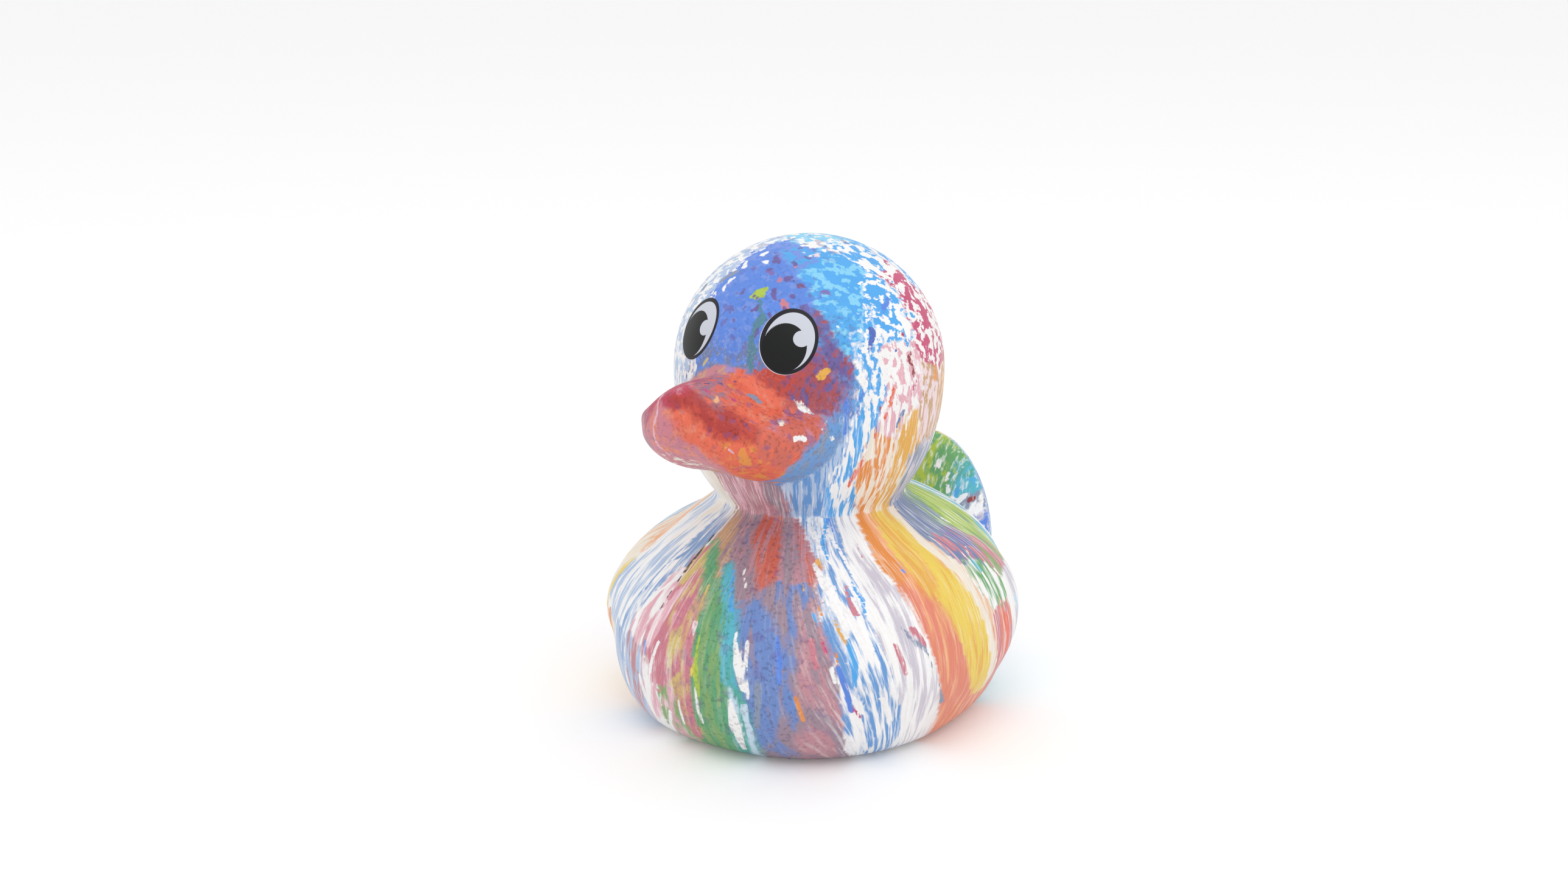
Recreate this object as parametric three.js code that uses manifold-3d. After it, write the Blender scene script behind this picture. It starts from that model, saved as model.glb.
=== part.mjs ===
// A squeaking bath duck: one hollow soft-vinyl moulding with a squeaker pressed into its base.
// Lengths are millimetres. +Z is up, the duck faces -Y and +X is its left side. The origin lies on
// the floor, under the middle of the duck's box.
import * as THREE from "three";
import { mergeVertices } from "three/addons/utils/BufferGeometryUtils.js";
import Module from "manifold-3d";

// The moulding's wall, and the running gap that every two neighbouring pieces keep
const wall = 2.2;
const gap = 0.3;

// The tub, seen from above: how far it reaches from its own axis at its widest level
const tubHalfWidth = 31.6;
const tubChest = 33.8;
const tubRump = 35.5;
const tubSquareness = 2.2;
// The tub, seen from the front: its flat foot, its widest level and its neck
const footHalfWidth = 23;
const widestLevel = 15.5;
const neckHalfWidth = 13.4;
const neckLevel = 37.8;
const crownRise = 2.4;
const backFullness = 0.4;
const shoulderSquareness = 0.6;

// The head: a ball whose lower half runs down into the neck
const headRadius = 22.2;
const headTop = 80;
const headLevel = 58.5;
const headSetBack = -1;
const throatRadius = 13.6;
const throatLevel = 35.5;

// The bill: a broad scoop with an arched upper lip, which overhangs a rounded lower lip
const billHalfWidth = 16;
const billReach = 37.2;
const billRoot = -16;
const lipCorner = 53.9;
const lipArch = 8.3;
const lipArchWidth = 9.6;
const mouthCorner = 52.9;
const mouthArch = 3;
const mouthArchWidth = 6.5;
const cheekRise = 1.2;
const chinDepth = 11.5;

// The wings: a long low bulge on each flank
const wingOut = 23.4;
const wingSetBack = 0.5;
const wingLevel = 18.9;
const wingHalf = new THREE.Vector3(8.6, 24.5, 14.2);
const wingLean = 0.41;

// The tail: a broad fan that climbs along a quarter of an ellipse
const tailStart = new THREE.Vector2(22, 14);
const tailRun = 16;
const tailClimb = 25.4;
const tailHalfWidth = 18;
const tailHalfThickness = 8;
const tailTaper = 0.25;

// The squeaker's seat in the base, and the squeaker itself
const seatHoleRadius = 7.3;
const seatRecessRadius = 9.8;
const seatRecessDepth = 1.6;
const seatBossRadius = seatRecessRadius + wall;
const flangeThickness = 0.9;
const barbOverhang = 0.9;
const barbRadius = seatHoleRadius + barbOverhang;
const barbHeight = 2.6;
const barrelRadius = 6.4;
const barrelTop = 16;
const chamberRadius = 5.1;
const airHoleRadius = 2.3;
const floorThickness = 1.2;
const capFlangeThickness = 1;
const capPlugDepth = 4.5;
const stemDepth = 7;
const stemRadius = 3.4;
const channelWidth = 2.2;
const channelDepth = 1.4;
const reedWidth = 3.2;
const reedLength = 8.2;
const reedThickness = 0.3;

const wasm = await Module();
wasm.setup();

// Turns a closed geometry into a solid, and a solid back into a geometry
function solidFrom(geometry) {
  geometry.deleteAttribute("normal");
  geometry.deleteAttribute("uv");
  const merged = mergeVertices(geometry, 1e-4);
  return new wasm.Manifold(
    new wasm.Mesh({
      numProp: 3,
      vertProperties: merged.attributes.position.array,
      triVerts: new Uint32Array(merged.index.array),
    }),
  );
}

function geometryFrom(solid) {
  const { vertProperties, triVerts } = solid.getMesh();
  const geometry = new THREE.BufferGeometry();
  geometry.setAttribute("position", new THREE.BufferAttribute(vertProperties, 3));
  geometry.setIndex(new THREE.BufferAttribute(triVerts, 1));
  geometry.computeVertexNormals();
  return geometry;
}

// Moves every vertex of a geometry to where a function puts it
function reshaped(geometry, place) {
  const position = geometry.attributes.position;
  const point = new THREE.Vector3();
  for (let i = 0; i < position.count; i++) {
    place(point.fromBufferAttribute(position, i));
    position.setXYZ(i, point.x, point.y, point.z);
  }
  return geometry;
}

// A solid turned about the Z axis from [radius, height] pairs, listed from the bottom upwards
function turned(profile, sides) {
  const points = profile.map(([radius, height]) => new THREE.Vector2(radius, height));
  return new THREE.LatheGeometry(points, sides).rotateX(Math.PI / 2);
}

function disc(radius, bottom, top, sides = 40) {
  return turned([[0, bottom], [radius, bottom], [radius, top], [0, top]], sides);
}

function bezierPairs(from, first, second, to, steps) {
  const ends = [from, first, second, to].map(([x, y]) => new THREE.Vector2(x, y));
  return new THREE.CubicBezierCurve(...ends).getPoints(steps).map(({ x, y }) => [x, y]);
}

const signedPower = (value, power) => Math.sign(value) * Math.abs(value) ** power;
const hump = (offset, width) => Math.exp(-((offset / width) ** 2));

// The tub: each level is a squared ellipse, and above the widest level the rump is fuller and squarer
function tubForm(inset, sides, steps) {
  const half = tubHalfWidth - inset;
  const foot = footHalfWidth - inset;
  const neck = neckHalfWidth - inset;
  const swell = widestLevel * 0.39;
  const lower = bezierPairs([foot, inset], [foot + (half - foot) * 0.65, inset],
    [half, swell], [half, widestLevel], steps);
  const upper = bezierPairs([half, widestLevel], [half, widestLevel + (neckLevel - widestLevel) * 0.36],
    [neck + (half - neck) * 0.5, neckLevel - (neckLevel - widestLevel) * 0.26], [neck, neckLevel], steps);
  const profile = [[0, inset], ...lower, ...upper.slice(1), [0, neckLevel + crownRise - inset]];
  return reshaped(turned(profile, sides), (point) => {
    const radius = Math.hypot(point.x, point.y);
    if (radius < 1e-6) return;
    const across = point.x / radius;
    const along = point.y / radius;
    const climb = THREE.MathUtils.clamp((point.z - widestLevel) / (neckLevel - widestLevel), 0, 1);
    const shoulder = Math.max(along, 0) ** 2 * Math.min(4 * climb * (1 - Math.min(climb, 0.5)), 1);
    const power = tubSquareness + shoulderSquareness * shoulder;
    const square = (Math.abs(across) ** power + Math.abs(along) ** power) ** (-1 / power);
    const share = radius / half;
    const fullness = climb > 0 ? THREE.MathUtils.lerp(backFullness, 1, climb * climb) : 1;
    const reach = along < 0 ? (tubChest - inset) * share : (tubRump - inset) * share ** fullness;
    point.set(radius * across * square, reach * along * square, point.z);
  });
}

function headForm(inset, sides, steps) {
  const radius = headRadius - inset;
  const rise = headTop - headLevel - inset;
  const throat = throatRadius - inset;
  const drop = headLevel - throatLevel;
  const flare = throat + (radius - throat) * 0.81;
  const lower = bezierPairs([throat, throatLevel], [flare, throatLevel + drop * 0.3],
    [radius, throatLevel + drop * 0.65], [radius, headLevel], steps);
  const upper = [];
  for (let i = 1; i <= steps; i++) {
    const turn = (i / steps) * (Math.PI / 2);
    upper.push([i < steps ? radius * Math.cos(turn) : 0, headLevel + rise * Math.sin(turn)]);
  }
  const profile = [[0, throatLevel - 3], [throat * 0.8, throatLevel - 3], ...lower, ...upper];
  return turned(profile, sides).translate(0, headSetBack, 0);
}

// The bill: a ball pressed into a scoop, flat-topped above the mouth and coned below it
function billForm(inset, sides, rings) {
  const reach = billReach + billRoot - inset;
  const ball = new THREE.SphereGeometry(1, sides, rings).rotateX(Math.PI / 2);
  return reshaped(ball, (point) => {
    const level = THREE.MathUtils.clamp(point.z, -1, 1);
    const flatness = level > 0 ? 4.5 : 1.75;
    const round = Math.sqrt(Math.max(1 - level * level, 0));
    const spread = round > 1e-6 ? round ** (2 / flatness) / round : 0;
    const rise = signedPower(level, 2 / flatness);
    const x = (billHalfWidth - inset) * point.x * spread;
    const y = billRoot + reach * point.y * spread;
    const mouth = mouthCorner + mouthArch * hump(x, mouthArchWidth);
    const cheek = THREE.MathUtils.clamp((y - 2 * billRoot + 2) / -billRoot, 0, 1);
    const lip = lipCorner + lipArch * hump(x, lipArchWidth) + cheekRise * cheek * (1 - hump(x, 7));
    const span = level > 0 ? Math.max(lip - mouth - inset, 0.3) : chinDepth - inset;
    point.set(x, y, mouth + span * rise);
  });
}

function wingForm(side, inset, sides, rings) {
  return new THREE.SphereGeometry(1, sides, rings)
    .rotateX(Math.PI / 2)
    .scale(wingHalf.x - inset, wingHalf.y - inset, wingHalf.z - inset)
    .rotateY(-side * wingLean)
    .translate(side * wingOut, wingSetBack, wingLevel);
}

// The tail: rings of a ball laid along its climbing path
function tailForm(inset, sides, rings) {
  const ball = new THREE.SphereGeometry(1, sides, rings).rotateX(Math.PI / 2);
  const tip = 1 - inset / tailClimb;
  return reshaped(ball, (point) => {
    const along = (THREE.MathUtils.clamp(point.z, -1, 1) + 1) / 2;
    const turn = along * tip * (Math.PI / 2);
    const round = Math.sqrt(Math.max(1 - point.z * point.z, 0));
    const across = round > 1e-6 ? point.x / round : 0;
    const through = round > 1e-6 ? -point.y / round : 0;
    const blunt = along > 0 ? 1 : 0;
    const halfWidth = (tailHalfWidth - inset) * Math.sqrt(Math.max(1 - along ** 2.2, 0)) * blunt;
    const thickness = tailHalfThickness * (1 - tailTaper * along) - inset;
    const halfThickness = thickness * Math.sqrt(Math.max(1 - along ** 3, 0)) * blunt;
    const run = tailRun * Math.cos(turn);
    const climb = tailClimb * Math.sin(turn);
    const slope = Math.hypot(run, climb);
    const offset = through * halfThickness;
    const y = tailStart.x + tailRun * Math.sin(turn) - (offset * climb) / slope;
    const z = tailStart.y + tailClimb * (1 - Math.cos(turn)) + (offset * run) / slope;
    point.set(across * halfWidth, y, z);
  });
}

// All of the duck's forms joined, either as its skin or, inset by the wall, as its hollow
function duckForm(inset, detail) {
  const count = (full) => Math.round(full * detail);
  const forms = [
    headForm(inset, count(40), count(8)),
    billForm(inset, count(32), count(18)),
    wingForm(1, inset, count(24), count(12)),
    wingForm(-1, inset, count(24), count(12)),
    tailForm(inset, count(20), count(12)),
  ];
  const tub = solidFrom(tubForm(inset, count(44), count(7)));
  return forms.reduce((joined, form) => joined.add(solidFrom(form)), tub);
}

// The hollow stops above a boss that carries the squeaker's seat
function bodySolid() {
  const seatTop = seatRecessDepth + wall;
  const hollow = duckForm(wall, 0.7).subtract(solidFrom(disc(seatBossRadius, -1, seatTop)));
  const recess = solidFrom(disc(seatRecessRadius, -1, seatRecessDepth));
  const hole = solidFrom(disc(seatHoleRadius, -1, seatTop + 1));
  return duckForm(0, 1).subtract(hollow).subtract(recess).subtract(hole);
}

// The housing: a flanged barrel whose barb snaps over the inside of the base
function housingGeometry() {
  const neckRadius = seatHoleRadius - gap;
  const flangeRadius = seatRecessRadius - gap;
  const flangeTop = seatRecessDepth - gap;
  const flangeBottom = flangeTop - flangeThickness;
  const barbBottom = seatRecessDepth + wall + gap;
  const chamberFloor = flangeBottom + floorThickness;
  const profile = [
    [airHoleRadius, flangeBottom], [flangeRadius, flangeBottom], [flangeRadius, flangeTop],
    [neckRadius, flangeTop], [neckRadius, barbBottom], [barbRadius, barbBottom],
    [barrelRadius, barbBottom + barbHeight], [barrelRadius, barrelTop], [chamberRadius, barrelTop],
    [chamberRadius, chamberFloor], [airHoleRadius, chamberFloor], [airHoleRadius, flangeBottom],
  ];
  return turned(profile, 40);
}

// The cap: a plug in the barrel's mouth, with a half-round stem that the air passes along
function capGeometry() {
  const plugRadius = chamberRadius - gap;
  const plugBottom = barrelTop - capPlugDepth;
  const flangeBottom = barrelTop + gap;
  const flangeTop = flangeBottom + capFlangeThickness;
  const plug = turned([
    [0, plugBottom], [plugRadius, plugBottom], [plugRadius, flangeBottom],
    [barrelRadius, flangeBottom], [barrelRadius, flangeTop], [0, flangeTop],
  ], 36);
  const stemBottom = plugBottom - stemDepth;
  const stem = solidFrom(disc(stemRadius, stemBottom, plugBottom + 1, 28));
  const offHalf = new THREE.BoxGeometry(4 * stemRadius, 2 * stemRadius, stemDepth)
    .translate(0, stemRadius, stemBottom + stemDepth / 2);
  const channelHeight = flangeTop - stemBottom;
  const channel = new THREE.BoxGeometry(channelWidth, 2 * channelDepth, channelHeight)
    .translate(0, 0, stemBottom + wall / 2 + channelHeight / 2);
  const slot = new THREE.BoxGeometry(reedWidth + 2 * gap, reedThickness + 2 * gap, capPlugDepth)
    .translate(0, (reedThickness + 2 * gap) / 2, plugBottom);
  const halfStem = stem.subtract(solidFrom(offHalf));
  return geometryFrom(
    solidFrom(plug).add(halfStem).subtract(solidFrom(channel)).subtract(solidFrom(slot)),
  );
}

// The reed: a thin tongue whose upper end sits in the cap's slot
function reedGeometry() {
  const slotTop = barrelTop - capPlugDepth / 2;
  return new THREE.BoxGeometry(reedWidth, reedThickness, reedLength)
    .translate(0, gap + reedThickness / 2, slotTop - gap - reedLength / 2);
}

function piece(name, geometry, color, roughness) {
  const mesh = new THREE.Mesh(geometry, new THREE.MeshStandardMaterial({ color, roughness, metalness: 0 }));
  mesh.name = name;
  return mesh;
}

const body = piece("duck_body", geometryFrom(bodySolid()), 0xa9a6b4, 0.5);
const squeaker = new THREE.Group();
squeaker.add(
  piece("squeaker_housing", housingGeometry(), 0xf2f1ec, 0.4),
  piece("squeaker_cap", capGeometry(), 0xf2f1ec, 0.4),
  piece("squeaker_reed", reedGeometry(), 0xe8e4d8, 0.35),
);

// The duck stands with the middle of its length over the origin
const duck = new THREE.Group();
duck.add(body, squeaker);
const middle = new THREE.Box3().setFromObject(body).getCenter(new THREE.Vector3());
duck.position.y = -middle.y;

export default duck;
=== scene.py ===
import math
import bmesh
import bpy
import numpy as np
from mathutils import Matrix, Vector, noise
from mathutils.bvhtree import BVHTree


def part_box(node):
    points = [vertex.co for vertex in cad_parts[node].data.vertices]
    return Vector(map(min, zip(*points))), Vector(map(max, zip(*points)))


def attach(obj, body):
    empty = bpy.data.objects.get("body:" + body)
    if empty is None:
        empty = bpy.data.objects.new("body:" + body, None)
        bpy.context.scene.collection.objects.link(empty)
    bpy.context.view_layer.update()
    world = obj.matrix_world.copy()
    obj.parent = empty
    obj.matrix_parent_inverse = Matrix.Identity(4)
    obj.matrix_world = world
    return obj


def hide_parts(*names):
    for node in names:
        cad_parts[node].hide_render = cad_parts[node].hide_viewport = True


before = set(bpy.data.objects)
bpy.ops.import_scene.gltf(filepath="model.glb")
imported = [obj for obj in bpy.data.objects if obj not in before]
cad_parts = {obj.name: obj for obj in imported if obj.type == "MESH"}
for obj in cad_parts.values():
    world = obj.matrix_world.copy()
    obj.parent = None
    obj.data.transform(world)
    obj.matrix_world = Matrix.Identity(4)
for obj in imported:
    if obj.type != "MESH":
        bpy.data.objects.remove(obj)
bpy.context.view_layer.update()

squeakerLow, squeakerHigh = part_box("squeaker_housing")
# The shapes below are in millimetres around the tub's own axis, where the squeaker sits
tubAxis = Vector((0, (squeakerLow[1] + squeakerHigh[1]) / 2, 0))
toFrame = Matrix.Translation(tubAxis) @ Matrix.Scale(0.001, 4)

tub = {
    "halfWidth": 31.6,
    "chest": 33.8,
    "rump": 35.5,
    "squareness": 2.2,
    "shoulder": 0.6,          # how much squarer the rump's shoulders are
    "foot": 23,
    "widest": 15.5,
    "neck": 13.4,
    "neckLevel": 37.8,
    "crown": 2.4,
    "fullness": 0.4,
    "bilge": (0.65, 0.39),    # handles of the curve from the foot to the widest level, as shares
    "flank": (0.36, 0.5, 0.26),
}
head = {
    "radius": 22.2,
    "top": 80,
    "level": 58.5,
    "setBack": -1,
    "throat": 13.6,
    "throatLevel": 35.5,
    "root": 3,                # how far it reaches down into the tub
    "cheek": (0.81, 0.3, 0.65),
}
bill = {
    "halfWidth": 16,
    "reach": 37.2,
    "root": -16,
    "corner": 53.9,           # upper lip's edge at the corner of the mouth
    "arch": 8.3,
    "archWidth": 9.6,
    "mouth": 52.9,
    "mouthArch": 3,
    "mouthWidth": 6.5,
    "cheek": 1.2,
    "cheekWidth": 7,
    "chin": 11.5,
    "flatness": (4.5, 1.75),  # above the mouth and below it
}
wing = {"out": 23.4, "setBack": 0.5, "level": 18.9, "half": Vector((8.6, 24.5, 14.2)), "lean": 0.41}
tail = {"start": (22, 14), "run": 16, "climb": 25.4, "halfWidth": 18, "thickness": 8, "taper": 0.25}
wall = 2.2
billReach = bill["reach"] + bill["root"]


def clamp(value, low=0.0, high=1.0):
    return max(low, min(high, value))


def hump(offset, width):
    return np.exp(-((offset / width) ** 2))


def bend(start, first, second, end, steps):  # points along one cubic curve, in the XZ plane
    points = []
    for t in [step / steps for step in range(steps + 1)]:
        weights = ((1 - t) ** 3, 3 * (1 - t) ** 2 * t, 3 * (1 - t) * t * t, t ** 3)
        corners = list(zip(weights, (start, first, second, end)))
        points.append([sum(weight * corner[axis] for weight, corner in corners) for axis in (0, 1)])
    return points


def turn(profile, steps):  # a profile spun once round the Z axis
    form = bmesh.new()
    verts = [form.verts.new((x, 0, z)) for x, z in profile]
    edges = [form.edges.new(pair) for pair in zip(verts, verts[1:])]
    bmesh.ops.spin(form, geom=verts + edges, cent=(0, 0, 0), axis=(0, 0, 1), angle=math.tau,
                   steps=steps, use_merge=True, use_duplicate=False)
    bmesh.ops.remove_doubles(form, verts=form.verts, dist=1e-4)
    bmesh.ops.recalc_face_normals(form, faces=form.faces)
    return form


def ball(across, along):
    form = bmesh.new()
    bmesh.ops.create_uvsphere(form, u_segments=across, v_segments=along, radius=1)
    return form


def makeTub(inset, steps):
    half, foot, neck = (tub[key] - inset for key in ("halfWidth", "foot", "neck"))
    widest, level = tub["widest"], tub["neckLevel"]
    out, swell = tub["bilge"]
    rise, inward, drop = tub["flank"]
    profile = [(0, inset)]
    profile += bend((foot, inset), (foot + (half - foot) * out, inset), (half, widest * swell),
                    (half, widest), steps)
    profile += bend((half, widest), (half, widest + (level - widest) * rise),
                    (neck + (half - neck) * inward, level - (level - widest) * drop),
                    (neck, level), steps)[1:]
    profile += [(0, level + tub["crown"] - inset)]
    form = turn(profile, steps * 6)
    for vert in form.verts:
        radius = math.hypot(vert.co.x, vert.co.y)
        if radius < 1e-6:
            continue
        across, along = vert.co.x / radius, vert.co.y / radius
        climb = clamp((vert.co.z - widest) / (level - widest))
        shoulder = max(along, 0) ** 2 * min(4 * climb * (1 - min(climb, 0.5)), 1)
        power = tub["squareness"] + tub["shoulder"] * shoulder
        square = (abs(across) ** power + abs(along) ** power) ** (-1 / power)
        share = radius / half
        fullness = tub["fullness"] + (1 - tub["fullness"]) * climb * climb if climb > 0 else 1
        reach = (tub["chest"] - inset) * share if along < 0 else (tub["rump"] - inset) * share ** fullness
        vert.co.x = radius * across * square
        vert.co.y = reach * along * square
    return form


def makeHead(inset, steps):
    radius, throat = head["radius"] - inset, head["throat"] - inset
    level, foot = head["level"], head["throatLevel"]
    rise, drop = head["top"] - level - inset, level - foot
    out, low, high = head["cheek"]
    profile = [(0, foot - head["root"]), (throat * 0.8, foot - head["root"])]
    profile += bend((throat, foot), (throat + (radius - throat) * out, foot + drop * low),
                    (radius, foot + drop * high), (radius, level), steps)
    for step in range(1, steps + 1):
        angle = step / steps * math.pi / 2
        profile.append((radius * math.cos(angle) if step < steps else 0, level + rise * math.sin(angle)))
    form = turn(profile, steps * 5)
    bmesh.ops.translate(form, verts=form.verts, vec=(0, head["setBack"], 0))
    return form


def lipHeight(x):
    return bill["corner"] + bill["arch"] * hump(x, bill["archWidth"])


def cheekHeight(x, y):  # the lip rises where it meets the cheek
    near = clamp((y - 2 * bill["root"] + 2) / -bill["root"])
    return bill["cheek"] * near * (1 - hump(x, bill["cheekWidth"]))


def mouthHeight(x):
    return bill["mouth"] + bill["mouthArch"] * hump(x, bill["mouthWidth"])


def makeBill(inset, across, along):
    form = ball(across, along)
    for vert in form.verts:
        level = clamp(vert.co.z, -1)
        flatness = bill["flatness"][0 if level > 0 else 1]
        girth = math.sqrt(max(1 - level * level, 0))
        spread = girth ** (2 / flatness) / girth if girth > 1e-6 else 0
        rise = math.copysign(abs(level) ** (2 / flatness), level)
        x = (bill["halfWidth"] - inset) * vert.co.x * spread
        y = bill["root"] + (billReach - inset) * vert.co.y * spread
        mouth = mouthHeight(x)
        upper = max(lipHeight(x) + cheekHeight(x, y) - mouth - inset, 0.3)
        vert.co = (x, y, mouth + (upper if level > 0 else bill["chin"] - inset) * rise)
    return form


def makeWing(side, inset, across, along):
    form = ball(across, along)
    lean = Matrix.Rotation(-side * wing["lean"], 3, "Y")
    bmesh.ops.scale(form, verts=form.verts, vec=wing["half"] - Vector((inset,) * 3))
    bmesh.ops.rotate(form, verts=form.verts, cent=(0, 0, 0), matrix=lean)
    bmesh.ops.translate(form, verts=form.verts, vec=(side * wing["out"], wing["setBack"], wing["level"]))
    return form


def makeTail(inset, across, along):
    form = ball(across, along)
    tip = 1 - inset / tail["climb"]
    for vert in form.verts:
        way = (clamp(vert.co.z, -1) + 1) / 2
        angle = way * tip * math.pi / 2
        girth = math.sqrt(max(1 - vert.co.z ** 2, 0))
        side, through = (vert.co.x / girth, -vert.co.y / girth) if girth > 1e-6 else (0, 0)
        blunt = 1 if way > 0 else 0
        halfWidth = (tail["halfWidth"] - inset) * math.sqrt(max(1 - way ** 2.2, 0)) * blunt
        thickness = tail["thickness"] * (1 - tail["taper"] * way) - inset
        offset = through * thickness * math.sqrt(max(1 - way ** 3, 0)) * blunt
        run, climb = tail["run"] * math.cos(angle), tail["climb"] * math.sin(angle)
        slope = math.hypot(run, climb)
        vert.co = (side * halfWidth,
                   tail["start"][0] + tail["run"] * math.sin(angle) - offset * climb / slope,
                   tail["start"][1] + tail["climb"] * (1 - math.cos(angle)) + offset * run / slope)
    return form


def makeForms(inset, detail):
    wingDetail = round(72 * detail), round(36 * detail)
    forms = {
        "tub": makeTub(inset, round(16 * detail)),
        "head": makeHead(inset, round(18 * detail)),
        "bill": makeBill(inset, round(96 * detail), round(64 * detail)),
        "wingLeft": makeWing(1, inset, *wingDetail),
        "wingRight": makeWing(-1, inset, *wingDetail),
        "tail": makeTail(inset, round(64 * detail), round(40 * detail)),
    }
    for form in forms.values():
        bmesh.ops.recalc_face_normals(form, faces=form.faces)
    return forms


def joined(forms):
    whole = bmesh.new()
    for form in forms:
        piece = bpy.data.meshes.new("form")
        form.to_mesh(piece)
        whole.from_mesh(piece)
        bpy.data.meshes.remove(piece)
    return whole


def placed(name, form):  # a form as an object in the scene
    mesh = bpy.data.meshes.new(name)
    form.to_mesh(mesh)
    form.free()
    made = bpy.data.objects.new(name, mesh)
    bpy.context.scene.collection.objects.link(made)
    return made


def remove(thing):
    mesh = thing.data
    bpy.data.objects.remove(thing)
    bpy.data.meshes.remove(mesh)


def applied(name, form, kind, **settings):  # a form after one modifier, as a new form
    carrier = placed(name, form)
    modifier = carrier.modifiers.new(kind.title(), kind)
    for key, value in settings.items():
        setattr(modifier, key, value)
    shown = carrier.evaluated_get(bpy.context.evaluated_depsgraph_get())
    made = bmesh.new()
    made.from_mesh(shown.to_mesh())
    shown.to_mesh_clear()
    remove(carrier)
    return made


skin = {
    "voxel": 0.62,            # how fine the joined skin is
    "hollowVoxel": 1.4,
    "hollowDetail": 0.6,
    "rounds": 3,              # of smoothing over the whole skin
    "fixedBelow": 0.8,
    "flatBelow": 0.25,
    "softening": [            # form, reach of the fillet in mm, rounds of smoothing
        ("wingLeft", 4.2, 26), ("wingRight", 4.2, 26), ("wingLeft", 2.6, 26), ("wingRight", 2.6, 26),
        ("tail", 3.0, 20), ("tail", 1.8, 14), ("head", 1.7, 7), ("bill", 1.1, 4),
    ],
}
lip = {
    "ahead": 42,              # half the width of the bill's front, in degrees
    "dish": (1.1, 10.5, 5.5),         # depth, way from the bill's root, and width
    "undercut": (0.5, 3.2, 1.7),      # depth, way past the lip's edge, and width
    "brim": (0.05, 0.2, 1.3),
    "sides": 1.2,             # the dish is deeper at the bill's sides than in front
    "front": 0.5,
    "skinReach": 1.4,
    "headReach": 1.5,
}
seat = {"recess": 9.8, "recessDepth": 1.6, "hole": 7.3, "boss": 12}


def reachOfForms(form, forms):  # how far a form's points lie from each of the forms
    found = {}
    for name, other in forms.items():
        tree = BVHTree.FromBMesh(other)
        found[name] = np.array([tree.find_nearest(vert.co)[3] for vert in form.verts])
    return found


def placeOnBill(p):
    across, along = p[:, 0] / bill["halfWidth"], (bill["root"] - p[:, 1]) / billReach
    out = np.hypot(across, along)
    below = p[:, 2] < mouthHeight(p[:, 0])
    travelled = billReach * np.where(below, 2 - out, out) + np.maximum(lipHeight(p[:, 0]) - p[:, 2], 0)
    return np.degrees(np.arctan2(across, along)), travelled


def shapeBill(form, distance):  # dishes the bill's top and undercuts its lip
    turned, travelled = placeOnBill(np.array([vert.co for vert in form.verts]))
    share = np.clip(lip["skinReach"] - distance["bill"], 0, 1)
    share = share * np.clip(distance["head"] / lip["headReach"], 0, 1)
    ahead = hump(turned, lip["ahead"])

    def band(name, start, strength=1):
        depth, way, width = lip[name]
        return depth * strength * hump(travelled - start - way, width)

    drop = band("dish", 0, lip["sides"] - lip["front"] * ahead) * share
    inward = (band("undercut", billReach) - band("brim", billReach)) * ahead * share
    for vert, angle, push, fall in zip(form.verts, np.radians(turned), inward, drop):
        vert.co += Vector((-math.sin(angle) * push, math.cos(angle) * push, -fall))


def smooth(form, verts, rounds):
    for _ in range(rounds):
        bmesh.ops.smooth_vert(form, verts=verts, factor=0.5,
                              use_axis_x=True, use_axis_y=True, use_axis_z=True)


def buildSkin(forms):
    outer = applied("skin", joined(forms.values()), "REMESH", mode="VOXEL", voxel_size=skin["voxel"])
    for _ in range(skin["rounds"]):
        smooth(outer, [v for v in outer.verts if v.co.z > skin["fixedBelow"]], 1)
    distance = reachOfForms(outer, forms)
    for name, reach, rounds in skin["softening"]:
        others = np.min([distance[key] for key in distance if key != name], axis=0)
        near = (distance[name] < reach) & (others < reach)
        smooth(outer, [v for v, hit in zip(outer.verts, near) if hit and v.co.z > skin["fixedBelow"]], rounds)
    shapeBill(outer, distance)
    for vert in outer.verts:                       # the base stands flat
        if vert.co.z < skin["flatBelow"]:
            vert.co.z = 0
    return outer


def cut(name, form, *corners):  # takes a turned tool away from a form
    tool = placed("tool", turn([(0, -1), *corners, (0, corners[-1][1])], 96))
    made = applied(name, form, "BOOLEAN", operation="DIFFERENCE", solver="FAST", object=tool)
    remove(tool)
    return made


def buildShell(forms):  # the skin with its hollow and the squeaker's seat
    outer = buildSkin(forms)
    hollow = applied("hollow", joined(makeForms(wall, skin["hollowDetail"]).values()),
                     "REMESH", mode="VOXEL", voxel_size=skin["hollowVoxel"])
    print("moulding:", len(outer.verts), "points outside,", len(hollow.verts), "inside")
    seatTop = seat["recessDepth"] + wall
    hollow = cut("hollow", hollow, (seat["boss"], -1), (seat["boss"], seatTop))
    bmesh.ops.reverse_faces(hollow, faces=hollow.faces)
    return cut("duck", joined((outer, hollow)), (seat["recess"], -1), (seat["recess"], seat["recessDepth"]),
               (seat["hole"], seat["recessDepth"]), (seat["hole"], seatTop + 1))


outerForms = makeForms(0, 1)
shell = buildShell(outerForms)
print("seat cut:", len(shell.faces), "faces")


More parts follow.
